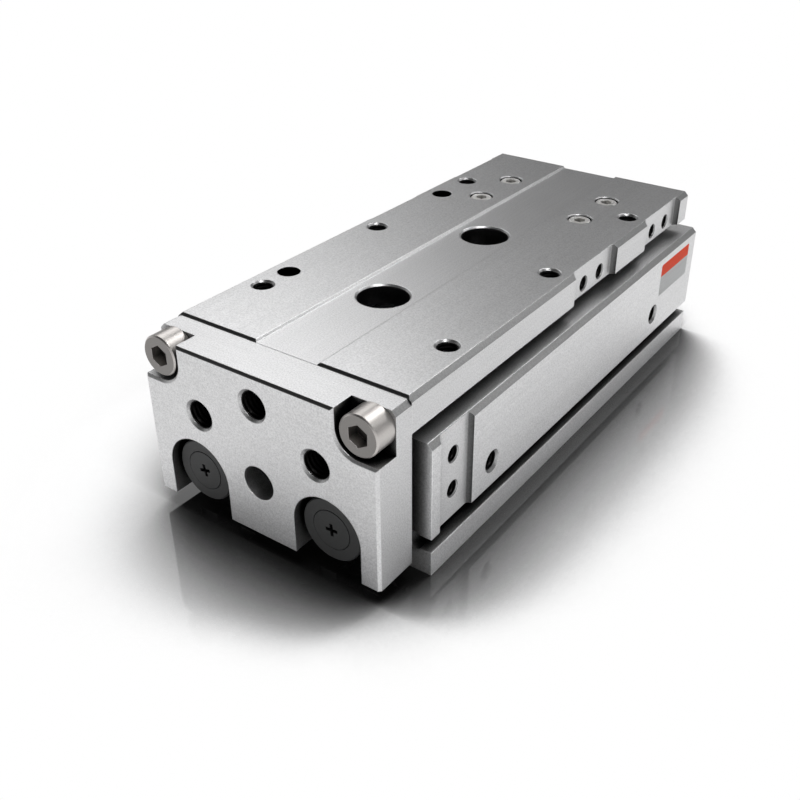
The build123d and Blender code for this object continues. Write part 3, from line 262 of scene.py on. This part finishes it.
def thread_tree():
    """A closed sleeve with a helical V on its inside, set into every drilled hole. Its last rows go round its
    end and back along its outside, which is sunk into the wall."""
    around = 36
    tree = bpy.data.node_groups.new("tapped_thread", "GeometryNodeTree")
    face = tree.interface
    face.new_socket("Geometry", in_out="INPUT", socket_type="NodeSocketGeometry")
    for label in ("Wall Radius", "Pitch", "Ridge", "Length"):
        face.new_socket(label, in_out="INPUT", socket_type="NodeSocketFloat")
    face.new_socket("Rows", in_out="INPUT", socket_type="NodeSocketInt")
    face.new_socket("Finish", in_out="INPUT", socket_type="NodeSocketMaterial")
    face.new_socket("Geometry", in_out="OUTPUT", socket_type="NodeSocketGeometry")
    given = add_node(tree, "NodeGroupInput").outputs

    def reckon(how, first, second=0.0):
        return work_out(tree, how, first, second)

    grid = add_node(tree, "GeometryNodeMeshGrid", {
        "Size X": 1.0, "Size Y": 1.0, "Vertices X": around + 1, "Vertices Y": reckon("ADD", given["Rows"], 1.0),
    }).outputs["Mesh"]
    spot = axes(tree, add_node(tree, "GeometryNodeInputPosition").outputs[0])
    turn = reckon("ADD", spot["X"], 0.5)
    row = reckon("MULTIPLY", reckon("ADD", spot["Y"], 0.5), given["Rows"])
    # Counted from the last row: 2 goes round the far end, 1 round the mouth's outside, 0 closes the sleeve
    left = reckon("SUBTRACT", given["Rows"], row)
    last = reckon("SUBTRACT", given["Rows"], float(BACK_ROWS))
    inner_share = reckon("DIVIDE", reckon("MINIMUM", row, last), last)
    depth = reckon("MULTIPLY", reckon("MULTIPLY", inner_share, reckon("GREATER_THAN", left, 1.5)), given["Length"])
    back = reckon("MULTIPLY", reckon("LESS_THAN", left, 2.5), reckon("GREATER_THAN", left, 0.5))
    wave = reckon("PINGPONG", reckon("ADD", reckon("DIVIDE", depth, given["Pitch"]), turn), 0.5)
    ridge = reckon("MULTIPLY", reckon("MULTIPLY", wave, 2.0), given["Ridge"])
    inner = reckon("SUBTRACT", reckon("SUBTRACT", given["Wall Radius"], 0.01 * MM), ridge)
    outer = reckon("ADD", given["Wall Radius"], 0.05 * MM)
    radius = reckon("ADD", inner, reckon("MULTIPLY", back, reckon("SUBTRACT", outer, inner)))
    angle = reckon("MULTIPLY", turn, 2 * math.pi)
    place = add_node(tree, "ShaderNodeCombineXYZ", {
        "X": reckon("MULTIPLY", radius, reckon("COSINE", angle)),
        "Y": reckon("MULTIPLY", radius, reckon("SINE", angle)),
        "Z": depth,
    }).outputs[0]
    sleeve = add_node(tree, "GeometryNodeSetPosition", {"Geometry": grid, "Position": place}).outputs[0]
    sleeve = add_node(tree, "GeometryNodeMergeByDistance", {"Geometry": sleeve, "Distance": 0.002 * MM}).outputs[0]
    sleeve = add_node(tree, "GeometryNodeFlipFaces", {"Mesh": sleeve}).outputs[0]
    drill = add_node(tree, "GeometryNodeInputNamedAttribute", {"Name": "drill"}, data_type="FLOAT_VECTOR")
    aim = add_node(tree, "FunctionNodeAlignRotationToVector", {"Vector": drill.outputs["Attribute"]}, axis="Z")
    holes = add_node(tree, "GeometryNodeInstanceOnPoints", {
        "Points": given["Geometry"], "Instance": sleeve, "Rotation": aim.outputs[0],
    }).outputs[0]
    solid = add_node(tree, "GeometryNodeRealizeInstances", {"Geometry": holes}).outputs[0]
    add_node(tree, "NodeGroupOutput", {"Geometry": add_node(tree, "GeometryNodeSetMaterial", {
        "Geometry": solid, "Material": given["Finish"],
    }).outputs[0]})
    return tree


def tapped_finish():
    """Bare cut aluminium, coloured near black as painted shade in the holes, with deeper painted shade in the roots.
    """
    mat, tree, shader, place = new_finish("tapped_metal_painted_shade", 1.0)
    fine = noise(tree, place, 5200.0, 3.0)
    shade = tint(tree, (0.022, 0.021, 0.021), vary(tree, fine, 0.8, 1.1), painted_recess_shade(tree, 2.5, 0.05))
    set_surface(tree, shader, shade, vary(tree, fine, 0.34, 0.48), fine, 0.3, 0.01)
    return mat


tapped_thread = thread_tree()
tapped_metal_painted_shade = tapped_finish()


def tap_holes(name, holes, ride_on, radius, pitch, lead, length):
    """Threads in like holes, each given by its mouth on the face and the way in. Radius is the drilled wall's,
    lead is the depth of the chamfer at the mouth; all in mm."""
    ridge_share = 0.22
    mesh = bpy.data.meshes.new(name)
    mesh.from_pydata([(Vector(mouth) + Vector(way) * lead) * MM for mouth, way in holes], [], [])
    drill = mesh.attributes.new("drill", "FLOAT_VECTOR", "POINT")
    for item, (_, way) in zip(drill.data, holes):
        item.vector = way
    piece = bpy.data.objects.new(name, mesh)
    bpy.context.collection.objects.link(piece)
    cutter = piece.modifiers.new("tap", "NODES")
    cutter.node_group = tapped_thread
    sizes = {
        "Wall Radius": radius * MM, "Pitch": pitch * MM, "Ridge": ridge_share * pitch * MM,
        "Length": (length - lead) * MM, "Rows": round((length - lead) / pitch * ROWS_PER_TURN) + BACK_ROWS,
        "Finish": tapped_metal_painted_shade,
    }
    for item in tapped_thread.interface.items_tree:
        if item.in_out == "INPUT" and item.name in sizes:
            cutter[item.identifier] = sizes[item.name]
    seen = piece.evaluated_get(bpy.context.evaluated_depsgraph_get())
    piece.data = bpy.data.meshes.new_from_object(seen)
    piece.data.name = name
    piece.modifiers.clear()
    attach(piece, ride_on)


tap_holes("port_threads", [((BODY_SIDE_X, y, PORT_Z), (-1, 0, 0)) for y in PORT_YS], "body",
          radius=2.1, pitch=0.8, lead=0.6, length=4.8)
tap_holes("body_stop_threads", [
    ((side * BODY_POCKET_X, -38.95, z), (-side, 0, 0)) for side in (-1, 1) for z in (15.1, 23.1)
], "body", **STOP_HOLE)
tap_holes("base_threads", [((0, y, 0), (0, 0, 1)) for y in (-40, 40)], "body",
          radius=2.5, pitch=1.0, lead=0.1, length=8.8)


# Label: a thin metallised foil on the right side near the rear, with a red band over a bare silver field.
# It is die-cut with round corners and pressed flat on the body; nothing is printed in the field.

LABEL_FOIL = 0.03
LABEL_REAR = 74.0
LABEL_FRONT = 56.1
LABEL_LOW = 18.5
LABEL_HIGH = 27.1
LABEL_BAND = 23.9
LABEL_CORNER = 0.45
LABEL_RIM = 0.012


def label_outline(inset):
    """The die-cut outline, seen from the right side, anticlockwise."""
    steps = 6
    points = []
    for y, z, start in (
        (LABEL_REAR, LABEL_LOW, -90), (LABEL_REAR, LABEL_HIGH, 0), (LABEL_FRONT, LABEL_HIGH, 90),
        (LABEL_FRONT, LABEL_LOW, 180),
    ):
        middle_y = y + (LABEL_CORNER if y == LABEL_FRONT else -LABEL_CORNER)
        middle_z = z + (LABEL_CORNER if z == LABEL_LOW else -LABEL_CORNER)
        for step in range(steps + 1):
            angle = math.radians(start + 90 * step / steps)
            reach = LABEL_CORNER - inset
            points.append((middle_y + reach * math.cos(angle), middle_z + reach * math.sin(angle)))
    return points


def label_finish():
    """Printed foil: red ink above the line, brushed silver below."""
    mat, tree, shader, place = new_finish("label_foil", 0.0)
    shader.inputs["Specular IOR Level"].default_value = 0.04
    ink = work_out(tree, "GREATER_THAN", axes(tree, place)["Z"], LABEL_BAND * MM)
    brushed = noise(tree, place, 900.0, 4.0, 0.6, (1.0, 0.12, 2.2))
    speck = noise(tree, place, 3000.0, 2.0)
    silver = tint(tree, (0.66, 0.67, 0.67), vary(tree, brushed, 0.92, 1.05))
    red = tint(tree, (0.95, 0.075, 0.020), vary(tree, speck, 0.9, 1.06))
    both = add_node(tree, "ShaderNodeMixRGB", {"Fac": ink, "Color1": silver, "Color2": red}).outputs[0]
    set_surface(tree, shader, both, vary(tree, brushed, 0.33, 0.45), brushed, 0.15, 0.01)
    return mat


def make_label():
    """The foil: a back that touches the body, a rounded rim, and a face."""
    rings = [
        [(BODY_SIDE_X + out, y, z) for y, z in label_outline(inset)]
        for out, inset in ((0.0, 0.0), (LABEL_FOIL - LABEL_RIM, 0.0), (LABEL_FOIL, LABEL_RIM))
    ]
    count = len(rings[0])
    faces = [tuple(reversed(range(count))), tuple(range(2 * count, 3 * count))]
    for ring in range(2):
        low, high = ring * count, (ring + 1) * count
        for step in range(count):
            following = (step + 1) % count
            faces.append((low + step, low + following, high + following, high + step))
    mesh = bpy.data.meshes.new("label")
    mesh.from_pydata([Vector(point) * MM for ring in rings for point in ring], [], faces)
    mesh.materials.append(label_finish())
    piece = bpy.data.objects.new("label", mesh)
    bpy.context.collection.objects.link(piece)
    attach(piece, "body")


make_label()


# Guide rail: a hardened steel rail in the trough of the body, ground on its top and sides, with two
# circular ball grooves and counterbored screws. Grinding leaves fine lines along it.

GROUND_ALONG = (1.0, 0.04, 1.0)


def ground_steel(name, colour, rough, stretch, lines=1400.0, alone=True, reach=3.0):
    """Steel with fine grinding lines, drawn out by stretch. Painted shade darkens its recesses within reach, in mm,
    and its edges are painted lighter, partly wear and partly painted highlight.
    """
    mat, tree, shader, place = new_finish(name, 1.0)
    soft, edge = broken_edge(tree, 0.10)
    line = noise(tree, place, lines, 4.0, 0.65, stretch)
    cloud = noise(tree, place, 90.0, 2.0)
    shade = tint(
        tree, colour, vary(tree, line, 0.92, 1.04), vary(tree, cloud, 0.95, 1.03),
        painted_recess_shade(tree, reach, 0.06, alone=alone), pick(tree, edge, 1.0, 1.15),
    )
    set_surface(tree, shader, shade, vary(tree, line, rough - 0.05, rough + 0.06), line, 0.12, 0.01, soft)
    return mat


dress(ground_steel(
    "rail_ground_steel", (0.56, 0.57, 0.585), 0.30, GROUND_ALONG, 2600.0, alone=False, reach=6.0,
), "guide_rail")


# Cap screws: cold-headed alloy steel with a warm, dull nickel look, turned flat on the head.
# The sockets are deep, with painted shade in them; the heads carry faint rings from turning.

SCREW_STEEL = (0.42, 0.40, 0.38)


def turned_metal(name, colour, rough, axis_at, axis="Y", pitch=0.12, metallic=1.0, painted_end_shade=1.0, reach=2.2):
    """Metal turned round an axis of the piece through axis_at: rings round that axis, a pitch apart, grain, edges
    painted lighter, partly wear and partly painted highlight, and painted shade in sockets within reach. The faces
    across the axis get painted shade, darker by painted_end_shade. Lengths are in mm."""
    ring_in_texture = 0.314
    mat, tree, shader, place = new_finish(name, metallic)
    soft, edge = broken_edge(tree, 0.12)
    centred = add_node(tree, "ShaderNodeMapping", {
        "Vector": place, "Location": tuple(-value * MM for value in axis_at),
    }).outputs[0]
    ring = add_node(tree, "ShaderNodeTexWave", {
        "Vector": centred, "Scale": ring_in_texture / (pitch * MM), "Distortion": 0.4, "Detail": 1.0,
    }, wave_type="RINGS", rings_direction=axis, wave_profile="SIN").outputs["Fac"]
    fine = noise(tree, place, 3600.0, 3.0)
    across = work_out(tree, "ABSOLUTE", facing(tree)[axis])
    shade = tint(
        tree, colour, vary(tree, fine, 0.94, 1.04), pick(tree, ring, 0.97, 1.02),
        painted_recess_shade(tree, reach, 0.03, low=0.3), pick(tree, edge, 1.0, 1.5),
        spread(tree, across, 0.85, 0.95, 1.0, painted_end_shade),
    )
    rough = vary(tree, fine, rough - 0.04, rough + 0.06)
    set_surface(tree, shader, shade, rough, work_out(tree, "ADD", ring, fine), 0.2, 0.008, soft)
    return mat


dress(turned_metal("rail_screw_steel", SCREW_STEEL, 0.34, (0, 0, 0), "Z"), "rail_screws")


# Front ends of the bores: turned aluminium rod covers with a bronze bush and a lip seal, held by round-wire
# rings; behind each a rubber ring that stops the piston. Rear ends: turned caps, rings, balls and plugs.

BORE_X = 16.35
BORE_Z = 11.8


def moulded(name, colour, rough):
    """Rubber or plastic with a fine moulded grain, painted shade in its recesses, and edges painted lighter, partly
    wear and partly painted highlight.
    """
    mat, tree, shader, place = new_finish(name, 0.0)
    soft, edge = broken_edge(tree, 0.12)
    fine = noise(tree, place, 1800.0, 3.0)
    cloud = noise(tree, place, 150.0, 2.0)
    shade = tint(
        tree, colour, vary(tree, fine, 0.85, 1.12), vary(tree, cloud, 0.92, 1.05),
        painted_recess_shade(tree, 2.0, 0.3), pick(tree, edge, 1.0, 1.35),
    )
    set_surface(tree, shader, shade, vary(tree, fine, rough - 0.06, rough + 0.08), fine, 0.25, 0.02, soft)
    return mat


black_rubber = moulded("black_rubber", (0.022, 0.022, 0.023), 0.55)
stop_rubber = moulded("stop_rubber", (0.035, 0.033, 0.032), 0.6)
wear_tape = moulded("wear_tape", (0.30, 0.16, 0.07), 0.42)
hard_chrome = ground_steel("hard_chrome", (0.72, 0.73, 0.75), 0.12, (4.0, 0.5, 4.0), 900.0)
for side, x in (("left", -BORE_X), ("right", BORE_X)):
    bore = (x, 0, BORE_Z)
    turned = turned_metal(f"{side}_turned_aluminium", (0.70, 0.70, 0.71), 0.32, bore)
    bronze = turned_metal(f"{side}_bush_bronze", (0.50, 0.29, 0.13), 0.34, bore)
    ring_steel = turned_metal(f"{side}_ring_steel", (0.20, 0.19, 0.19), 0.36, bore, pitch=0.3)
    dress(turned, f"{side}_rod_cover", f"{side}_head_cap", f"{side}_piston")
    dress(bronze, f"{side}_rod_bush")
    dress(ring_steel, f"{side}_front_ring", f"{side}_rear_ring")
    dress(hard_chrome, f"{side}_rod")
    dress(black_rubber, f"{side}_rod_seal", f"{side}_cover_oring", f"{side}_cap_oring", f"{side}_piston_seal")
    dress(stop_rubber, f"{side}_front_damper", f"{side}_rear_damper")
    dress(wear_tape, f"{side}_wear_ring")

dress(moulded("magnet_grey", (0.09, 0.09, 0.095), 0.5), "left_piston_magnet", "right_piston_magnet")
dress(turned_metal("plug_steel", (0.40, 0.385, 0.37), 0.36, (0, 0, PORT_Z), "X"), "port_plugs")
dress(ground_steel("gallery_chrome", (0.62, 0.62, 0.64), 0.16, (1.0, 1.0, 1.0), 1500.0), "gallery_balls")


# Guide block: a hardened steel saddle that runs on two loaded rows of balls, with moulded end caps that turn
# the balls round into the return bores, steel-backed scrapers, and two small screws in each end.

dress(ground_steel("block_ground_steel", (0.52, 0.53, 0.545), 0.32, GROUND_ALONG, alone=False), "guide_block")
dress(ground_steel("ball_chrome", (0.70, 0.70, 0.72), 0.10, (1.0, 1.0, 1.0), 1500.0),
      "left_ball_row", "right_ball_row")
dress(moulded("cap_resin", (0.045, 0.047, 0.05), 0.42), "front_end_cap", "rear_end_cap")
dress(moulded("scraper_rubber", (0.03, 0.03, 0.03), 0.5), "front_scraper", "rear_scraper")
dress(turned_metal("cap_screw_steel", SCREW_STEEL, 0.32, (0, 0, 0)), "end_cap_screws")


# Table: a machined plate with two raised strips and a skirt, anodised like the body. It carries the load on
# six M5 holes and two dowel holes; four counterbored screws hold it on the guide block.

TABLE_TOP = 40.5
TABLE_POCKET_X = 27.3


def painted_access_hole_shade(tree, place):
    """Painted shade on the walls of the two upright access holes on the middle line, 1 elsewhere, as little light
    gets down there."""
    radius, darkest = 5.5, 0.12
    flat = add_node(tree, "ShaderNodeVectorMath", {0: place, 1: (1.0, 1.0, 0.0)}, operation="MULTIPLY").outputs[0]
    walls = []
    for middle in (-20.0, 20.0):
        away = add_node(tree, "ShaderNodeVectorMath", {
            0: flat, 1: (0.0, middle * MM, 0.0),
        }, operation="DISTANCE").outputs["Value"]
        walls.append(spread(tree, away, (radius + 0.03) * MM, (radius + 0.08) * MM, darkest, 1.0))
    return times(tree, *walls)


def table_painted_shades(tree, place):
    """Painted shade on the corners of the pockets in both skirts, and in the access holes."""
    return painted_pocket_corner_shade(tree, place, TABLE_POCKET_X, -49.0, 74.0), painted_access_hole_shade(tree, place)


dress(anodised_finish(
    "table_anodised", (0.785, 0.785, 0.79), 0.38, LINES_ALONG, table_painted_shades,
    reach=10.0, low=0.47, high=0.88, alone=False, falloff=1.5,
), "table")
# the block screws' heads are coloured near white, a lighter copy of the screw steel: painted light
dress(turned_metal("block_screw_painted_light", (0.98, 0.965, 0.94), 0.42, (0, 0, 0), "Z", reach=1.3), "block_screws")
tap_holes("payload_threads", [
    ((x, y, TABLE_TOP), (0, 0, -1)) for x in (-23.15, 23.15) for y in (-31.1, 8.9, 48.9)
], "table", radius=2.15, pitch=0.8, lead=0.5, length=7.2)
tap_holes("table_stop_threads", [
    ((side * TABLE_POCKET_X, y, 35.8), (-side, 0, 0)) for side in (-1, 1) for y in (17.6, 25.6, 55.2, 63.2)
], "table", **STOP_HOLE)


# End plate: a thick anodised bar bolted across the front of the table by two cap screws in corner notches.
# It pulls on both rods and takes a load on its face, in three tapped holes and one plain one.

LINES_ACROSS = (0.02, 1.0, 1.0)
PLATE_FACE = -60.2

dress(anodised_finish(
    "plate_anodised", (0.80, 0.80, 0.805), 0.40, LINES_ACROSS,
    reach=6.0, low=0.42, high=0.88, corner=0.45, alone=False,
), "end_plate")
tap_holes("plate_threads", [
    ((x, PLATE_FACE, z), (0, 1, 0)) for x, z in ((-14.4, 26.3), (14.4, 26.3), (0, 33.6))
], "table", radius=3.0, pitch=1.0, lead=0.6, length=9.8)
# the bolts' head faces are painted darker than their sides: painted shade
dress(turned_metal("bolt_steel", (0.68, 0.65, 0.625), 0.37, (24.1, 0, 36.1), painted_end_shade=0.42), "end_plate_bolts")


# Rod ends: a black-oxide disc on each rod sits in the slot of the end plate, with a countersunk cross screw
# and a collar behind the plate, so that the rod can float sideways a little.

for side, x in (("left", -BORE_X), ("right", BORE_X)):
    oxide = turned_metal(
        f"{side}_disc_oxide", (0.040, 0.041, 0.041), 0.46, (x, 0, BORE_Z), pitch=0.35, metallic=0.0,
    )
    dress(oxide, f"{side}_rod_disc", f"{side}_rod_screw")
    dress(turned_metal(f"{side}_collar_steel", SCREW_STEEL, 0.34, (x, 0, BORE_Z)), f"{side}_rod_collar")


# Floor: a pale, slightly glossy studio table, a round board that is wide enough to reach the horizon.
# It shows the object's shadow near it, cast by the lamps and deepened by a painted shadow in its colour, and
# goes to plain white away from it.

def fade(tree, value, low, high, to_low=0.0, to_high=1.0):
    """Stretches a value as spread does, but eases in and out."""
    return spread(tree, value, low, high, to_low, to_high, interpolation_type="SMOOTHSTEP")


def floor_finish():
    """White board with a soft gloss and a painted shadow in its colour: the painted shadow follows how far the
    object covers the sky, and other rays than the camera's feel only part of it. It is painted a little deeper at
    the front right corner of the object and fades sooner behind it. Away from the object it shows plain white to
    camera, gloss and glass."""
    reach, covered, clear, darkest, falloff = 70.0, 0.46, 0.91, 0.09, 1.7
    felt_share, white_to_others = 0.68, 0.82
    mat, tree, shader, place = new_finish("studio_floor", 0.0)
    near = openness(tree, reach, samples=48)
    spot = axes(tree, place)
    corner = times(
        tree, spread(tree, spot["X"], 15.0 * MM, 35.0 * MM, 0.0, 1.0),
        spread(tree, spot["Y"], -45.0 * MM, -20.0 * MM, 1.0, 0.0),
    )
    # painted shadow: the floor's colour darkens where the object covers the sky, more at its front right corner
    shade = times(
        tree, work_out(tree, "POWER", fade(tree, near, covered, clear, darkest, 1.0), falloff),
        pick(tree, corner, 1.0, 0.78), spread(tree, spot["Y"], 40.0 * MM, 110.0 * MM, 1.0, 1.5),
    )
    path = add_node(tree, "ShaderNodeLightPath").outputs
    felt = pick(tree, path["Is Camera Ray"], felt_share, 1.0)
    shade = pick(tree, felt, 1.0, work_out(tree, "MINIMUM", shade, 1.0))
    tree.links.new(tint(tree, (0.94, 0.94, 0.945), shade), shader.inputs["Base Color"])
    tree.links.new(vary(tree, noise(tree, place, 30.0), 0.05, 0.065), shader.inputs["Roughness"])

    left, right = -30.0 * MM, 10.0 * MM
    first_white = spread(tree, spot["X"], left, right, 0.80, 0.735)
    all_white = spread(tree, spot["X"], left, right, 0.94, 0.85)
    far = fade(tree, near, first_white, all_white)
    seen = work_out(tree, "MAXIMUM", path["Is Camera Ray"], path["Is Glossy Ray"])
    seen = work_out(tree, "MAXIMUM", seen, path["Is Transmission Ray"])
    white = add_node(tree, "ShaderNodeEmission", {
        "Strength": pick(tree, path["Is Camera Ray"], white_to_others, 1.0),
    })
    mix = add_node(tree, "ShaderNodeMixShader", {
        0: times(tree, far, seen), 1: shader.outputs[0], 2: white.outputs[0],
    })
    tree.links.new(mix.outputs[0], tree.nodes["Material Output"].inputs["Surface"])
    return mat


def make_floor():
    """The round board."""
    reach = 6.0
    count = 96
    rim = [
        (reach * math.cos(2 * math.pi * step / count), reach * math.sin(2 * math.pi * step / count), 0)
        for step in range(count)
    ]
    mesh = bpy.data.meshes.new("studio_floor")
    mesh.from_pydata(rim, [], [tuple(range(count))])
    mesh.materials.append(floor_finish())
    board = bpy.data.objects.new("studio_floor", mesh)
    bpy.context.collection.objects.link(board)


make_floor()


# Light: one large soft lamp overhead, which gloss leaves out, three small ones behind and one at the front
# right, whose reflections give the satin faces their sheen and the edges their lines, and a plain studio sky.

def soft_lamp(name, place, aim, size, power, gloss=True, matt=True):
    """A round soft lamp at a place, turned to its aim; it can leave out glossy or matt surfaces."""
    data = bpy.data.lights.new(name, "AREA")
    data.shape = "DISK"
    data.size = size
    data.energy = power
    lamp = bpy.data.objects.new(name, data)
    lamp.location = place
    lamp.rotation_euler = (Vector(aim) - Vector(place)).to_track_quat("-Z", "Y").to_euler()
    lamp.visible_glossy = gloss
    lamp.visible_diffuse = matt
    bpy.context.collection.objects.link(lamp)


soft_lamp("top_softbox", (-0.10, 0.05, 0.85), (0, 0, 0.03), 0.90, 6.1, gloss=False)
soft_lamp("left_softbox", (-0.46, 0.34, 0.56), (0, 0, 0.03), 0.46, 0.84)
soft_lamp("glint_softbox", (0.072, 0.341, 0.490), (0.02, -0.06, 0.036), 0.26, 0.62)
soft_lamp("rim_softbox", (0.276, -0.150, 0.520), (0, 0, 0.04), 0.20, 0.90, matt=False)
soft_lamp("edge_softbox", (0.300, 0.420, 0.330), (0, 0, 0.04), 0.20, 0.12)


def studio_sky():
    """Soft sky: in front it is bright low down and dark above, behind the object it is dim, paler to the right
    and high up on the left. The camera sees plain white."""
    world = bpy.data.worlds.new("studio_sky")
    bpy.context.scene.world = world
    world.use_nodes = True
    tree = world.node_tree
    way = add_node(tree, "ShaderNodeTexCoord").outputs["Generated"]
    looks = axes(tree, way)
    climb = add_node(tree, "ShaderNodeVectorMath", {
        0: way, 1: (-0.449, 0.0, 0.894),
    }, operation="DOT_PRODUCT").outputs["Value"]
    behind = fade(tree, looks["Y"], -0.1, 0.45)
    high_up = times(tree, fade(tree, climb, 0.44, 0.70), behind)
    in_front = fade(tree, looks["Z"], 0.28, 0.54, 0.60, 0.0)
    low_behind = spread(tree, looks["X"], -0.25, 0.5, 0.02, 0.30)
    level = pick(tree, high_up, pick(tree, behind, in_front, low_behind), 0.24)
    straight = add_node(tree, "ShaderNodeLightPath").outputs["Is Camera Ray"]
    backdrop = tree.nodes["Background"]
    tree.links.new(pick(tree, straight, level, 1.0), backdrop.inputs["Strength"])
    backdrop.inputs["Color"].default_value = (1.0, 1.0, 1.0, 1.0)


studio_sky()


# Camera: stands at the front right, above the table, as the photographer's did. Its place and its three axes
# come from the fit to the photograph.

CAMERA_AT = Vector((0.11030, -0.16664, 0.12802))
CAMERA_RIGHT = Vector((0.81858, 0.57439, 0.00114))
CAMERA_UP = Vector((-0.29256, 0.41522, 0.86139))
CAMERA_AHEAD = Vector((-0.49430, 0.70545, -0.50794))

lens = bpy.data.cameras.new("camera")
lens.lens = 44.19
lens.sensor_width = 36.0
lens.shift_x = -0.01635
lens.shift_y = -0.0254
lens.clip_start = 0.01
camera = bpy.data.objects.new("camera", lens)
turn = Matrix((CAMERA_RIGHT, CAMERA_UP, -CAMERA_AHEAD)).transposed()
camera.matrix_world = Matrix.Translation(CAMERA_AT) @ turn.to_4x4()
bpy.context.collection.objects.link(camera)
bpy.context.scene.camera = camera
bpy.context.scene.view_settings.view_transform = "Standard"
